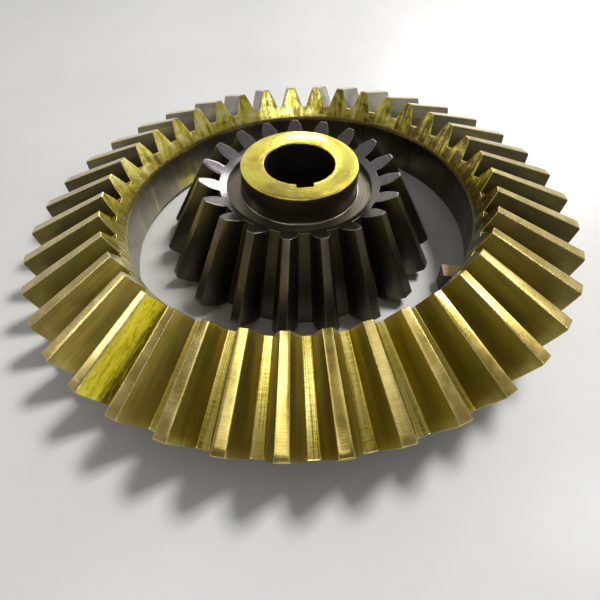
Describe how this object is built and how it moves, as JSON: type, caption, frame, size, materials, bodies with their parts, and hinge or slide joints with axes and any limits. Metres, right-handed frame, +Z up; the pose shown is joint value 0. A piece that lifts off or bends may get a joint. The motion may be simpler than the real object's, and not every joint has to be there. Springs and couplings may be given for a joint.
{
  "type": "bevel gear pair",
  "caption": "Straight bevel ring gear leaning on a timber batten, with its keyed hub pinion standing in the bore.",
  "frame": {"origin": "floor level, straight below the centre of the ring gear's heel circle", "axes": "+Z up, along the pinion's axis from heel to toe; +X towards the side of the ring that rests on the batten"},
  "size_m": [1.1919, 1.1926, 0.228],
  "materials": {
    "ring_steel": "oiled, machined",
    "pinion_steel": "oiled, machined, darkened flanks",
    "timber": "sawn"
  },
  "bodies": {
    "packing": {"packing_batten": "timber"},
    "ring": {"ring_gear": "ring_steel"},
    "pinion": {"pinion": "pinion_steel"}
  },
  "joints": [
    {"name": "ring_spin", "type": "hinge", "parent": "packing", "child": "ring", "pos_m": [0, 0, 0.12054], "axis": [-0.0512, 0.0161, 0.9986], "continuous": true},
    {"name": "pinion_spin", "type": "hinge", "parent": "packing", "child": "pinion", "pos_m": [0.0029, 0.0129, 0], "axis": [0, 0, 1], "continuous": true}
  ],
  "couplings": [
    {"joint": "pinion_spin", "follows": "ring_spin", "ratio": -2.0526}
  ]
}
